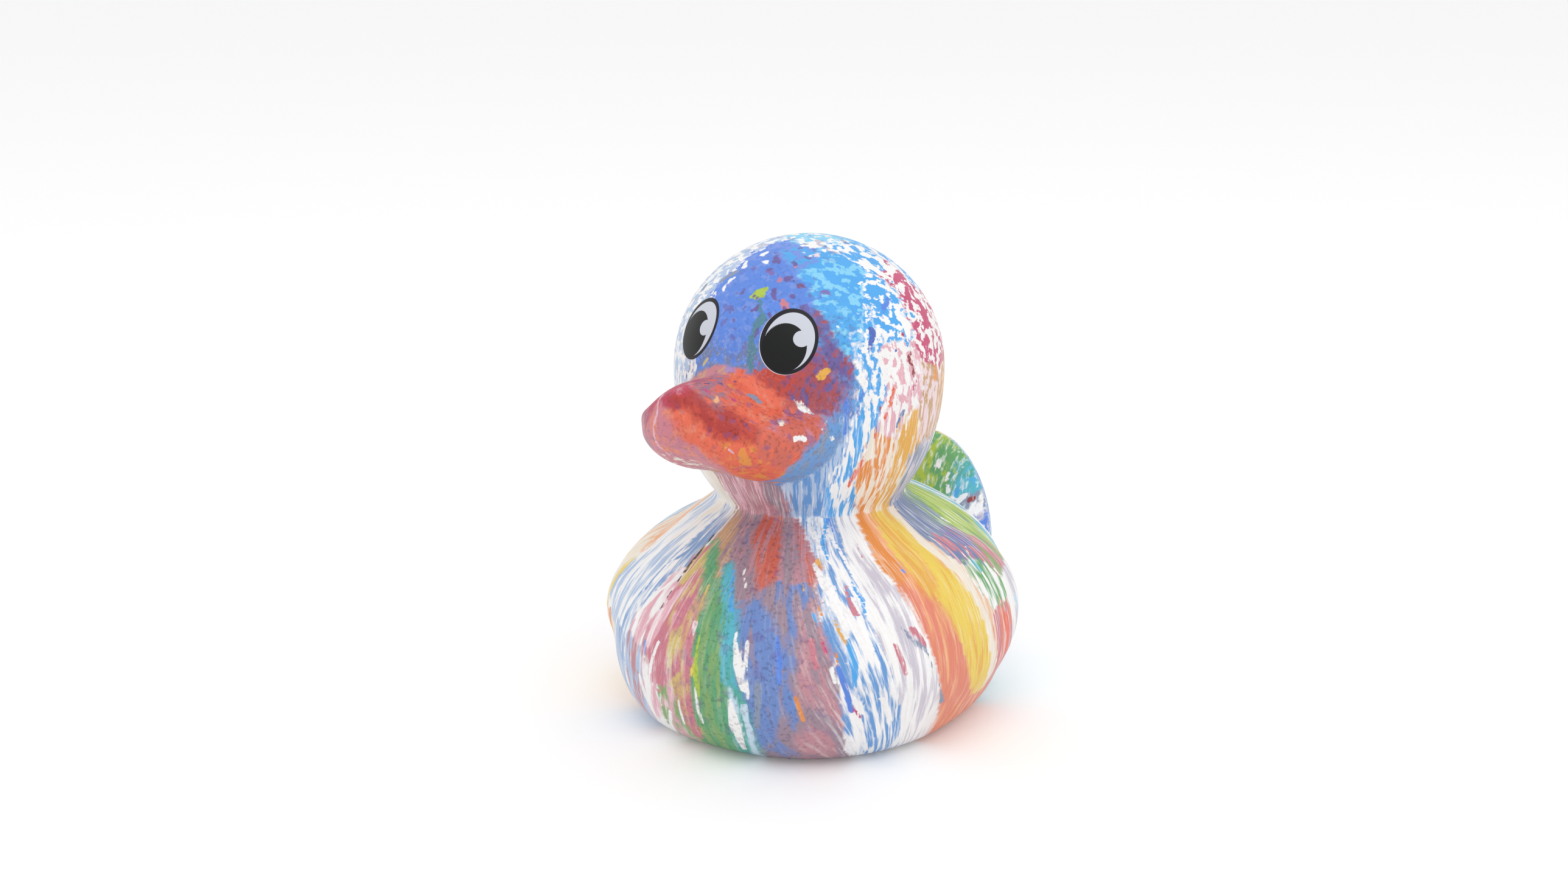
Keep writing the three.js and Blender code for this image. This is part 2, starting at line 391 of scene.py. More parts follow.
# The marbled film is laid on as fields of colour
filmColours = {               # as screen colours
    "vinyl": (236, 233, 228), "milk": (246, 245, 244), "cream": (241, 231, 216), "blush": (240, 216, 220),
    "cornflower": (96, 138, 224), "periwinkle": (120, 150, 226), "azure": (84, 170, 236),
    "sky": (136, 208, 242), "iceBlue": (200, 222, 238), "steel": (140, 152, 176), "violet": (128, 112, 178),
    "plum": (128, 84, 122), "raspberry": (202, 82, 122), "crimson": (190, 64, 92), "brick": (200, 80, 66),
    "rust": (176, 92, 84), "coral": (232, 110, 84), "salmon": (228, 136, 112), "rose": (206, 128, 142),
    "mauve": (166, 122, 136), "orange": (230, 146, 74), "amber": (232, 176, 82), "yellow": (236, 206, 92),
    "straw": (214, 190, 120), "tan": (204, 164, 124), "lime": (176, 200, 78), "leaf": (108, 170, 108),
    "moss": (134, 172, 110), "teal": (88, 172, 160), "turquoise": (92, 184, 204), "bluegrey": (116, 132, 176),
    "slate": (112, 110, 132), "lavender": (208, 202, 214), "deepBlue": (82, 108, 190),
    "peach": (238, 198, 166), "wine": (150, 66, 70), "charcoal": (78, 72, 84), "haze": (180, 200, 228),
    "clay": (210, 108, 92), "ash": (160, 138, 152), "heather": (194, 142, 152), "denim": (112, 140, 200),
    "fern": (98, 166, 120), "apricot": (242, 178, 130), "petal": (230, 178, 190), "dusk": (112, 98, 158),
    "ember": (172, 84, 92), "ocean": (108, 158, 216), "mist": (136, 168, 212), "trail": (90, 136, 158),
    # painted shade: the dark band under the upper lip's edge on the bill
    "garnet": (178, 64, 60),
}

# Ground fields: colour, colour of the flecks that break through, how many, and the field's path, with
# three numbers for a point. On the body they are turn from the chest, slant from the top and half
# width, in degrees.
bodyGround = [
    ("iceBlue", "steel", 0.45, -82, 30, 7, -74, 44, 6, -66, 60, 4),
    ("peach", "cream", 0.5, -64, 25, 7, -62, 40, 5, -60, 56, 4),
    ("apricot", "cream", 0.45, -56, 34, 2.5, -52, 44, 3, -50, 54, 2.5),
    ("cream", "yellow", 0.45, -52, 54, 3, -51, 64, 4, -54, 80, 4),
    ("milk", "haze", 0.5, -44, 25, 8, -42, 40, 6, -42, 60, 5, -43, 76, 5),
    ("cream", "milk", 0.5, -30, 26, 5, -37, 44, 2.5),
    ("haze", "milk", 0.52, -24, 32, 3, -29, 44, 4.5, -32, 60, 6, -33, 76, 6),
    ("milk", "mist", 0.5, -18, 28, 5, -20, 42, 4, -23, 54, 4, -26, 66, 3),
    ("petal", "milk", 0.52, -17, 54, 2.5, -19, 66, 3.5, -22, 78, 3.5),
    ("heather", "haze", 0.5, -23, 80, 4, -25, 92, 5, -24, 108, 5),
    ("haze", "mist", 0.5, -34, 80, 5, -36, 94, 6, -36, 114, 7),
    ("milk", "petal", 0.5, -17, 88, 2.5, -17, 104, 4, -18, 118, 5),
    ("rose", "petal", 0.5, -12, 58, 2.2, -12, 74, 3, -12, 90, 2.5),
    ("straw", "rose", 0.5, -12, 44, 1.8, -9, 56, 2.5, -6, 70, 2.4, -5, 84, 2),
    ("tan", "ash", 0.45, -12, 28, 3, -7, 36, 3, -1, 45, 2.2, -1, 60, 1.6),
    ("rose", "straw", 0.45, -4, 62, 1.6, -2, 74, 1.8, -3, 92, 2.8, -1, 108, 2.5),
    ("moss", "petal", 0.45, -8, 94, 2.5, -8, 106, 4, -8, 118, 5),
    ("fern", "moss", 0.4, -8, 38, 1.6, -2, 50, 2.8, 4, 62, 4, 6, 78, 4.5, 6, 96, 5, 7, 118, 6),
    ("turquoise", "teal", 0.4, 2, 46, 1.6, 8, 58, 2.6, 11, 70, 2.8, 11, 82, 2.2),
    ("teal", "iceBlue", 0.48, 13, 86, 1.5, 15, 100, 3, 14, 118, 5),
    ("ash", "heather", 0.4, 2, 25, 9, 2, 34, 4, 10, 46, 4, 12, 54, 4),
    ("clay", "heather", 0.32, 10, 27, 6.5, 13, 36, 6, 18, 47, 4),
    ("ash", "heather", 0.4, 22, 27, 3, 25, 36, 2.5, 26, 46, 4),
    ("clay", "heather", 0.36, 27, 29, 2, 32, 37, 2.6, 36, 44, 2.2),
    ("denim", "ash", 0.42, 15, 58, 3, 19, 66, 4.5, 22, 78, 5.5, 23, 92, 5.5, 22, 106, 4),
    ("ash", "denim", 0.46, 22, 52, 4, 28, 56, 5, 29, 68, 3, 26, 100, 3, 26, 118, 7),
    ("heather", "ash", 0.42, 33, 60, 4, 35, 72, 5, 36, 86, 5.5, 38, 98, 6, 37, 112, 8),
    ("ocean", "milk", 0.5, 30, 25, 5, 33, 31, 2.5, 39, 42, 2),
    ("milk", "ocean", 0.54, 41, 25, 6, 43, 40, 5, 46, 52, 5),
    ("milk", "ocean", 0.5, 44, 58, 3.5, 47, 70, 4, 51, 86, 5, 56, 102, 5, 60, 118, 6),
    ("ocean", "milk", 0.5, 39, 60, 2.4, 42, 74, 3, 45, 90, 3.4, 48, 108, 4),
    ("milk", "lavender", 0.44, 54, 25, 6, 54, 44, 5, 57, 60, 6, 62, 78, 6, 66, 92, 6, 69, 116, 7),
    ("orange", "apricot", 0.3, 66, 25, 5, 66, 42, 4, 68, 54, 3),
    ("amber", "yellow", 0.35, 77, 25, 6, 75, 42, 6, 76, 54, 4),
    ("salmon", "apricot", 0.3, 67, 56, 3.2, 72, 70, 4.5, 77, 84, 5, 82, 98, 6, 90, 116, 14),
    ("yellow", "amber", 0.3, 84, 36, 3.5, 83, 52, 5, 86, 68, 6, 90, 82, 6, 94, 98, 4),
    ("cream", "peach", 0.5, 91, 26, 3, 89, 45, 2, 93, 60, 2, 97, 78, 2, 100, 94, 3),
    ("steel", "bluegrey", 0.5, 104, 28, 12, 101, 40, 8),
    ("bluegrey", "rose", 0.5, 100, 46, 6, 108, 50, 6),
    ("moss", "steel", 0.5, 118, 26, 6, 116, 34, 5),
    ("lime", "moss", 0.4, 129, 34, 8, 131, 50, 9),
    ("leaf", "milk", 0.52, 102, 60, 4, 107, 68, 4),
    ("rose", "moss", 0.5, 119, 58, 6),
    ("salmon", "rose", 0.5, 106, 80, 6, 108, 92, 6),
    ("lavender", "milk", 0.55, 122, 72, 6, 118, 86, 5),
    ("milk", "turquoise", 0.5, 148, 25, 7, 147, 58, 5, 143, 84, 3, 147, 116, 6),
    ("turquoise", "milk", 0.48, 139, 54, 2, 137, 88, 5, 138, 116, 5),
    ("mist", "iceBlue", 0.5, 162, 25, 7, 165, 58, 6, 159, 90, 8, 160, 118, 5),
    ("cream", "peach", 0.5, 177, 25, 7, 179, 52, 4, 174, 84, 6, 176, 118, 8),
    ("coral", "petal", 0.5, -168, 25, 5, -171, 58, 5, -167, 92, 4, -165, 118, 7),
    ("milk", "coral", 0.45, -161, 52, 2, -158, 84, 4, -158, 116, 2),
    ("amber", "cream", 0.48, -154, 25, 7, -151, 60, 6, -149, 96, 4, -150, 118, 6),
    ("milk", "azure", 0.5, -139, 25, 7, -136, 60, 7, -139, 94, 8, -136, 118, 5),
    ("ocean", "haze", 0.5, -122, 25, 6, -121, 60, 6, -126, 96, 5, -122, 118, 8),
    ("leaf", "milk", 0.52, -107, 25, 5, -106, 60, 4, -111, 90, 4, -106, 118, 5),
    ("lavender", "milk", 0.5, -98, 66, 2, -102, 92, 4, -99, 116, 3),
    ("petal", "rose", 0.48, -94, 25, 6, -90, 60, 6, -92, 100, 5, -90, 118, 6),
    ("peach", "yellow", 0.5, -76, 60, 5, -72, 80, 6, -70, 104, 8),
    ("apricot", "cream", 0.5, -50, 84, 5, -52, 100, 6, -52, 116, 6),
]

# Smaller marks lie over the ground in coats. Each coat holds every colour's paths.
bodyMarks = [
    {
        "milk": [
            (13, 66, 0.5, 15, 76, 1.3, 16, 85, 0.6), (17, 68, 0.4, 17, 88, 0.5),
            (12, 89, 0.5, 13, 100, 1.6, 14, 112, 0.7), (9, 46, 0.6, 12, 52, 0.4),
            (36, 43, 0.8, 39, 50, 1.3, 42, 55, 0.7), (42, 51, 0.6, 44, 62, 0.7),
            (32, 28, 0.9, 40, 40, 1.1, 45, 48, 0.7), (42, 31, 0.8, 47, 41, 1, 51, 51, 0.7),
            (47, 55, 0.7, 48, 66, 0.8, 51, 76, 0.6), (39, 77, 0.6, 40, 82, 0.6), (46, 89, 0.7, 48, 94, 0.7),
            (53, 88, 0.8, 57, 98, 0.7), (96, 42, 0.4, 95, 50, 0.4), (101, 51, 0.4, 102, 58, 0.6),
            (109, 49, 0.4, 104, 54, 0.4), (118, 40, 0.5, 119, 43, 0.4), (96, 58, 0.4, 98, 68, 0.5),
            (113, 62, 0.5, 116, 71, 0.6), (-14, 52, 0.6, -20, 61, 0.8, -24, 71, 0.6),
            (-12, 76, 0.5, -15, 88, 0.7), (2, 88, 0.5, 3, 102, 0.6), (-9, 102, 0.6, -13, 115, 0.8),
            (-5, 95, 0.4, -5, 106, 0.5), (-21, 92, 0.7, -19, 106, 0.9),
            (-36, 60, 0.7, -38, 74, 0.8, -41, 90, 0.7), (-29, 84, 0.5, -31, 100, 0.7),
        ],
        "iceBlue": [(16, 91, 1, 17, 106, 1.1), (-43, 88, 0.8, -38, 78, 0.7), (120, 76, 1.5, 124, 84, 1)],
        "cream": [(91, 28, 1.6, 88, 44, 1.6, 92, 58, 1, 96, 72, 1, 99, 90, 0.8)],
        "blush": [(-1, 66, 1.1, -0.6, 70, 0.7), (-14, 62, 0.6, -15, 70, 0.8, -16, 80, 0.6)],
    },
    {
        "azure": [
            (42, 28, 0.9, 39, 36, 0.9, 41, 42, 0.6), (35, 59, 0.7, 36, 63, 0.5),
            (48, 50, 0.6, 50, 56, 0.9, 49, 61, 0.6), (45, 69, 0.8, 46, 76, 1.1, 46, 84, 0.6),
            (5, 47, 0.6, 10, 60, 0.8),
        ],
        "cornflower": [
            (41, 77, 0.9, 43, 85, 1, 45, 93, 0.7), (44, 26, 1, 45, 32, 0.8),
            (24, 66, 0.6, 25, 74, 1, 25, 82, 0.7),
        ],
        "denim": [(17, 56, 0.9, 21, 75, 1.4, 22, 90, 0.9)],
        "mist": [
            (-16, 38, 0.5, -20, 45, 0.8, -23, 49, 0.5), (-25, 51, 0.5, -27, 62, 0.7),
            (-29, 64, 0.5, -31, 75, 0.8, -33, 84, 0.5),
        ],
        "periwinkle": [(-18, 77, 0.5, -17, 83, 0.4), (68, 46, 0.5, 68, 49, 0.7)],
        "steel": [
            (20, 81, 0.8, 19, 100, 0.9), (60, 66, 0.4, 66, 76, 0.5, 68, 82, 0.3), (71, 86, 0.4, 75, 97, 0.6),
        ],
        "amber": [(37, 42, 0.8, 39, 45, 0.6), (31, 49, 0.5, 32, 53, 0.4), (42, 62, 0.5, 44, 69, 0.5)],
        "orange": [
            (36, 55, 0.5, 38, 60, 0.5), (41, 70, 0.4, 41, 75, 0.4), (30, 86, 0.6, 32, 95, 0.5),
            (-46, 78, 0.5, -49, 86, 0.6),
        ],
        "raspberry": [(37, 68, 0.6, 38, 72, 0.5), (45, 91, 0.6, 48, 96, 0.5)],
        "rose": [
            (34, 68, 0.8, 35, 77, 0.7), (45, 51, 0.5, 47, 60, 0.6), (57, 71, 0.5, 60, 81, 0.7),
            (63, 67, 0.6, 66, 74, 0.8), (55, 35, 0.6, 55, 42, 0.5), (100, 42, 1, 99, 50, 0.9),
        ],
        "lime": [(2, 70, 0.4, 2, 81, 0.9, 3, 91, 0.5)],
        "yellow": [(1, 80, 0.6, 0, 85, 0.5)],
        "straw": [(-2, 53, 0.7, -1, 65, 0.7)],
        "violet": [(107, 43, 1.2, 109, 50, 1.8)],
        "turquoise": [(103, 56, 1.2, 104, 60, 0.9)],
        "coral": [(108, 78, 2, 109, 90, 1.5)],
        "bluegrey": [(-2, 28, 0.4, 6, 38, 0.5)],
        "moss": [(8, 71, 0.6, 9, 93, 0.6)],
    },
    {
        "charcoal": [(-14, 36, 0.5, -14, 47, 0.62, -14.2, 56, 0.5, -15, 66, 0.3)],
    },
]

# On the head: turn from the bill, angle from the crown and half width, in degrees
headGround = [
    ("sky", "milk", 0.4, 40, 2, 11),
    ("sky", "azure", 0.4, 180, 16, 12),
    ("cornflower", "periwinkle", 0.3, -4, 36, 18, 8, 55, 14, 0, 68, 11),
    ("periwinkle", "azure", 0.35, 22, 26, 11),
    ("azure", "sky", 0.35, 52, 32, 13, 58, 48, 7, 50, 70, 6),
    ("bluegrey", "cornflower", 0.4, -7, 77, 6, 8, 77, 5),
    ("milk", "haze", 0.52, -62, 28, 16, -55, 50, 18, -48, 76, 15, -52, 100, 18),
    ("denim", "ocean", 0.45, 49, 84, 4, 48, 96, 4.5),
    ("ocean", "haze", 0.5, 46, 104, 4.5, 38, 120, 5, 32, 136, 5, 32, 145, 5),
    ("brick", "ember", 0.36, 15, 84, 3, 24, 85, 4.5),
    ("ember", "dusk", 0.36, 31, 90, 4, 34, 97, 3),
    ("dusk", "ember", 0.3, 44, 64, 3, 46, 72, 5, 48, 80, 3.5),
    ("ember", "dusk", 0.32, 38, 81, 4, 44, 86, 4, 40, 93, 3.5),
    ("milk", "azure", 0.5, 61, 56, 2.5, 58, 72, 2.5, 57, 88, 3, 56, 102, 4, 53, 116, 3.5, 51, 132, 4,
     57, 144, 5),
    ("azure", "milk", 0.4, 76, 46, 7, 76, 60, 6),
    ("milk", "azure", 0.5, 78, 22, 8, 88, 34, 6),
    ("milk", "raspberry", 0.5, 98, 46, 8, 102, 66, 8, 100, 80, 6),
    ("milk", "petal", 0.42, 76, 78, 5, 80, 92, 5, 72, 104, 5),
    ("blush", "tan", 0.5, 94, 90, 7, 98, 106, 6),
    ("peach", "tan", 0.5, 112, 98, 8),
    ("amber", "cream", 0.35, 82, 106, 3, 82, 118, 4, 82, 130, 5, 84, 144, 6),
    ("cream", "orange", 0.48, 68, 112, 3, 68, 122, 4, 72, 132, 2),
    ("orange", "cream", 0.5, 59, 116, 2, 61, 124, 3, 65, 134, 3.5, 70, 144, 4.5),
    ("heather", "petal", 0.45, -6, 134, 8, 6, 144, 9),
    ("ash", "heather", 0.4, 17, 138, 4, 16, 145, 6),
    ("cream", "milk", 0.5, -28, 132, 9, -26, 143, 8),
    ("steel", "lavender", 0.5, 96, 126, 7, 100, 140, 8),
    ("azure", "milk", 0.5, 140, 40, 12),
    ("milk", "raspberry", 0.45, 135, 70, 12),
    ("milk", "azure", 0.5, 176, 66, 14),
    ("cornflower", "milk", 0.4, -150, 50, 14, -160, 84, 10),
    ("milk", "periwinkle", 0.5, -110, 60, 12, -100, 92, 10),
    ("rose", "milk", 0.5, 150, 98, 8, 138, 108, 7),
    ("lime", "milk", 0.5, 124, 116, 5, 128, 132, 5, 129, 145, 6),
    ("milk", "turquoise", 0.5, 146, 120, 6, 148, 145, 7),
    ("mist", "iceBlue", 0.5, 164, 112, 7, 162, 145, 7),
    ("cream", "peach", 0.5, -179, 108, 7, 177, 145, 7),
    ("coral", "petal", 0.5, -164, 116, 5, -168, 145, 5),
    ("amber", "cream", 0.5, -150, 110, 7, -154, 145, 7),
    ("milk", "azure", 0.5, -134, 108, 8, -139, 145, 7),
    ("ocean", "haze", 0.5, -120, 114, 6, -122, 145, 6),
    ("leaf", "milk", 0.52, -108, 120, 5, -107, 145, 5),
    ("petal", "rose", 0.48, -92, 114, 7, -94, 145, 6),
    ("haze", "steel", 0.5, -80, 118, 6, -82, 145, 6),
    ("peach", "cream", 0.5, -66, 122, 5, -64, 145, 6),
    ("milk", "haze", 0.5, -46, 118, 8, -44, 145, 8),
]
headMarks = [
    {
        "milk": [
            (30, 14, 1.5, 44, 14, 4.5, 54, 13, 2), (14, 14, 0.6, 20, 16, 1), (25, 21, 1.3), (31, 25, 1.2),
            (-2, 33, 0.8, -5, 31, 1.6), (-12, 27, 1.8, -9, 24, 1), (-21, 37, 1.8, -25, 33, 1.5),
            (66, 43, 1.4, 66, 49, 1.1), (63, 54, 1.2, 62, 61, 1), (76, 32, 1.6, 87, 36, 2, 92, 43, 1.4),
            (88, 51, 1.2, 82, 60, 1.6, 86, 67, 1.2), (67, 64, 1.2, 64, 71, 1.2),
            (73, 72, 1.2, 70, 80, 1.5, 66, 86, 1.1), (52, 84, 0.9, 54, 90, 0.7), (59, 81, 0.8, 57, 85, 0.7),
            (27, 91, 1, 30.5, 93, 1.3, 34, 94, 1), (55, 22, 2, 52, 25, 1), (83, 62, 2, 82, 70, 2),
            (86, 50, 1, 80, 46, 1.2), (48, 62, 0.9), (-20, 44, 1, -17, 54, 0.7),
        ],
        "blush": [(41, 25, 1.9)],
        "cream": [(61, 106, 1.2, 61, 116, 1.6, 56, 122, 1)],
    },
    {
        "violet": [
            (6, 26.5, 1.6, 10, 28, 1.8), (2, 37, 1.5, 6, 38, 1.8), (39, 47, 1, 44, 46, 1.3), (22, 40, 0.8),
            (34, 30, 0.8, 36, 31, 0.6),
        ],
        "raspberry": [
            (8.5, 27.5, 0.9), (94, 45, 1.6, 104, 44, 2), (90, 48, 1.2, 95, 46, 1.4),
            (108, 51, 1.6, 104, 54, 1.4), (92, 54, 1.2, 88, 58, 1), (105, 57, 2, 104, 62, 2.8, 104, 68, 2.2),
            (82, 87, 1, 80, 92, 0.9),
        ],
        "rose": [
            (16.5, 40, 1.7), (20, 50, 1.2, 23, 54, 1.4), (108, 82, 2.4, 115, 84, 3), (12, 62, 0.8),
            (26, 34, 0.9), (40, 36, 0.8),
        ],
        "plum": [(-4.5, 58, 1.1), (41, 59, 1), (14, 30, 0.7), (28, 44, 0.9, 30, 46, 0.7), (18, 66, 0.9)],
        "rust": [(-6, 73, 1.2), (64, 97, 0.8, 62, 108, 0.8)],
        "slate": [(48, 44, 0.8)],
        "lime": [(7.5, 44.5, 2.2, 5, 49, 3.2)],
        "amber": [(39.5, 82.5, 2, 42.5, 80.5, 2.2), (83, 106, 1, 79, 115, 1.2, 76, 128, 1)],
        "crimson": [(77.5, 67, 1.2)],
        "wine": [(84, 74, 1, 82, 84, 1)],
        "coral": [
            (71, 88, 1, 70, 95, 1.6, 67, 101, 0.8), (63, 104, 0.9, 62, 109, 0.8), (58, 118, 1, 54, 130, 1.2),
        ],
        "orange": [(99, 86, 1.4, 99, 91, 1.4)],
        "cornflower": [
            (48, 87, 1.2, 49, 96, 1.6, 48, 106, 1), (56, 88, 0.9, 54, 99, 0.9), (78, 52, 1, 70, 61, 1.2),
        ],
        "azure": [(72, 47, 1.2, 69, 60, 1.2)],
        "dusk": [(48, 67, 1, 48, 75, 1)],
        "bluegrey": [(77, 101, 1.6, 74, 106, 1), (92, 93, 1.3), (-22, 85, 0.8, -20, 90, 0.8)],
        "steel": [(-43, 53, 2.4), (-26, 41, 2, -28, 44, 1.6), (-42, 61, 1.5)],
        "iceBlue": [(-36, 83, 2.4)],
        "straw": [(-14, 82, 1, -12, 80, 1)],
        "deepBlue": [(64, 64, 1.6, 62, 72, 1.4), (75, 75, 1.5)],
    },
    {
        "trail": [(7, 52, 1.9, 9.5, 62, 2.2, 11, 80, 2)],
    },
]

# On the bill: turn across it in degrees, way from the root over the lip and down, and half width, in mm
billGround = [
    ("periwinkle", "mauve", 0.4, 0, 3, 2.5, 6, 6.5, 2.5),
    ("coral", "orange", 0.3, 28, 5, 3, 26, 10, 3.5),
    ("coral", "salmon", 0.3, 52, 8, 4, 45, 15, 4.5),
    ("ember", "coral", 0.35, 82, 6, 3, 76, 12, 3),
    ("mauve", "coral", 0.42, 0, 11, 3, 8, 15, 2.6, 16, 18, 2),
    ("crimson", "rose", 0.35, -10, 15, 3, -4, 20, 2.4),
    ("crimson", "mauve", 0.4, -24, 17, 4.5, -46, 18, 4),
    ("rose", "tan", 0.4, -16, 8, 4, -44, 8, 5),
    ("mauve", "rose", 0.4, -40, 26, 4, -64, 27, 5),
    # painted shade: a dark band just under the upper lip's edge, where the lip's overhang shades the bill's
    # front
    ("garnet", "brick", 0.25, -2, 22.8, 1.2, 13, 23.2, 1.7, 26, 23.6, 1.9, 42, 23, 1.3),
    ("rose", "salmon", 0.4, -16, 27, 3.5, -6, 31, 4, -2, 35, 3),
    ("coral", "salmon", 0.35, 8, 28, 3, 18, 29, 3),
    ("rose", "salmon", 0.4, 8, 35, 3, 18, 39, 3),
    ("coral", "orange", 0.3, 36, 28, 4, 46, 31, 4, 38, 38, 4, 54, 34, 4),
    ("clay", "rose", 0.42, 60, 19, 3, 70, 20, 2.5),
    ("clay", "coral", 0.35, 52, 25, 3, 60, 27, 3),
    ("ocean", "steel", 0.4, 90, 26, 4, 80, 29, 4, 70, 34, 3.6, 62, 42, 3),
    ("rose", "cream", 0.4, -20, 40, 4, 0, 44, 4, -60, 40, 6),
    ("ember", "coral", 0.4, 30, 46, 4),
    ("tan", "coral", 0.4, 0, 54, 5, 60, 54, 5, -60, 54, 5),
]
billMarks = [
    {
        "petal": [
            (-13, 21, 0.45, -14, 25, 0.55, -18, 31, 0.5, -17, 36, 0.45), (-34, 20, 0.6, -24, 20.5, 0.5),
            (28, 27, 0.35, 32, 27.5, 0.35), (24, 15, 0.4), (33, 18.6, 0.4),
        ],
        "milk": [(68, 14, 0.8, 74, 15.4, 1, 79, 16.8, 0.7), (64, 22.5, 0.6, 69, 23.2, 0.6), (84.6, 24, 0.7)],
        "cream": [(59, 19.4, 0.5, 61, 17.4, 0.55)],
        "iceBlue": [(78, 22, 0.3, 83, 20, 0.35)],
    },
    {
        "steel": [(40, 13, 0.9, 44, 13.8, 0.8)],
        "apricot": [(19, 19, 0.9)],
        "orange": [(38, 27, 1.2, 39, 29, 1.1), (46, 23.5, 0.5, 49, 25.5, 0.5), (46, 35, 1.1, 50, 37, 0.9)],
        "plum": [(6, 15.5, 0.6), (-2, 17, 0.5), (14, 13.5, 0.7), (24, 11, 0.6)],
        "raspberry": [(10, 18, 0.7, 13, 18.6, 0.6), (28, 16.5, 0.6)],
        "lavender": [(-42, 30, 1.4, -40, 38, 1.4)],
        "rose": [(12, 31, 0.6, 14, 36, 0.8)],
    },
]

# On the tail: across, height and half width, in mm
tailGround = [
    ("lime", "leaf", 0.4, 0, 28, 3, 0, 37, 3),
    ("leaf", "lime", 0.35, 5, 35, 3, 6, 30, 2),
    ("teal", "turquoise", 0.4, 8, 34, 1.6),
    ("turquoise", "azure", 0.4, 10, 31.5, 2),
    ("steel", "milk", 0.5, 12, 28, 1.4),
    ("cornflower", "lavender", 0.4, 14, 25, 1.6, 15, 20, 2),
    ("turquoise", "milk", 0.5, -7, 33, 4),
    ("rose", "blush", 0.5, -12, 27, 4, -14, 20, 3),
]
tailMarks = [
    {
        "milk": [
            (4.1, 33.4, 0.35, 4.3, 34.6, 0.3), (5.8, 31.6, 0.4, 6.3, 32.8, 0.3),
            (7.3, 30.3, 0.5, 6.5, 31.2, 0.3), (10.2, 28.6, 0.5, 10.6, 29.5, 0.5),
            (8.6, 29.3, 0.3, 9.6, 28.9, 0.3),
        ],
        "iceBlue": [(7, 31.6, 0.2, 8, 33.2, 0.2)],
    },
    {
        "wine": [(11.8, 28.7, 0.5, 12.2, 29, 0.4)],
        "plum": [(10.8, 34.6, 0.4, 10, 35.6, 0.3)],
    },
]

chart = {"level": 12, "rise": 26, "length": 34.5}  # the ball that the body's chart is drawn on
areas = {                     # middle and half size of parts of the film, in degrees
    "chest": (16, 25),
    "band": (79, 13),         # the yellow band down the left flank
    "besideEye": (36, 22, 78, 24),
    "forehead": (12, 26, 46, 26),
}
grains = {                    # how much of each grain a part of the film shows
    "specks": {"chest": 1, "besideEye": 0.9, "forehead": 0.5, "bill": 0.7},
    "softness": {"body": 0.4, "chest": 0.5, "band": 0.5, "besideEye": 0.9, "forehead": 0.6, "bill": 1},
    "dots": {"forehead": 1, "crown": 0.5, "besideEye": 0.6, "bill": 0.22, "chest": 0.35},
    "bodyBelow": (41, 5),     # a level in mm, and how far the change reaches
    "crownAbove": (34, 12),   # the same in degrees from the crown
    "streaksFrom": (60, 50),
    "billReach": 0.8,
}
flowing = {                   # how the film was pulled, by the angle fallen from the crown
    "stretch": ((45, 95), (1, 0.32)),
    "spread": ((40, 100), (1, 1.8)),
    "shoulder": (45, 20),     # from here up, in this span, the body's streaks turn about the head's axis
    "body": (40, 142, 0.1, 25),       # spread, angle at the neck, fall, and where the fall starts
    "leans": ((0.28, 48, 22), (-0.14, -25, 20)),      # amount, middle and width
    "leanFrom": 40,
    "bill": (1.2, 1.2, 0.7),
    "tail": (1, 0.4, 0.4),
}
laying = {
    "outside": 1.5,           # points farther in than this stay bare vinyl
    "wanderLevels": (38, 60),
    "drift": ((5, 11, 1), (1.6, 23, 0.45)),           # size of a wander in mm, seed and strength
    "coats": 3,
    "bareCoat": (0.8, 0.8, 0.8, -9.0),
    "bareMargin": 99,
}


def linear(colour):  # a screen colour as the shaders take it
    return [((c / 255 + 0.055) / 1.055) ** 2.4 for c in colour]


def shadesOf(names):
    return np.array([linear(filmColours[name]) for name in names])


def onSphere(turned, fallen):  # degrees to a point on a ball, one unit for each degree
    turned, fallen = np.radians(turned), np.radians(fallen)
    flat = np.sin(fallen)
    return np.stack([np.sin(turned) * flat, -np.cos(turned) * flat, np.cos(fallen)], -1) * 57.3


def onLip(turned, travelled):  # the bill as a drum: out over the top, then down the front
    turned = np.radians(turned)
    out = np.minimum(travelled, billReach)
    return np.stack([np.sin(turned) * out, -np.cos(turned) * out, out - travelled], -1)


def onPlain(across, along):
    return np.stack([across, along], -1)


def placeOnBody(p):
    level = (p[:, 2] - chart["level"]) / chart["rise"]
    out = np.hypot(p[:, 0] / tub["halfWidth"], p[:, 1] / chart["length"])
    return np.degrees(np.arctan2(p[:, 0], -p[:, 1])), np.degrees(np.arctan2(out, level))


def placeOnHead(p):
    out = p[:, 1] - head["setBack"]
    turned = np.degrees(np.arctan2(p[:, 0], -out))
    return turned, np.degrees(np.arctan2(np.hypot(p[:, 0], out), p[:, 2] - head["level"]))


def fallOnHead(fallen):  # the film is stretched downwards below the eyes
    steps = np.arange(0, 181.0)
    stretch = np.interp(steps, *flowing["stretch"])
    down = np.sin(np.radians(np.minimum(steps, 90))) * stretch
    drop = np.cumsum(down) * math.radians(head["radius"])
    return head["radius"] - np.interp(fallen, steps, drop)


def flowOnHead(p):
    turned, fallen = placeOnHead(p)
    out = head["radius"] * np.sin(np.radians(np.minimum(fallen, 90))) * np.interp(fallen, *flowing["spread"])
    turned = np.radians(turned)
    return np.stack([out * np.sin(turned), -out * np.cos(turned), fallOnHead(fallen)], -1)


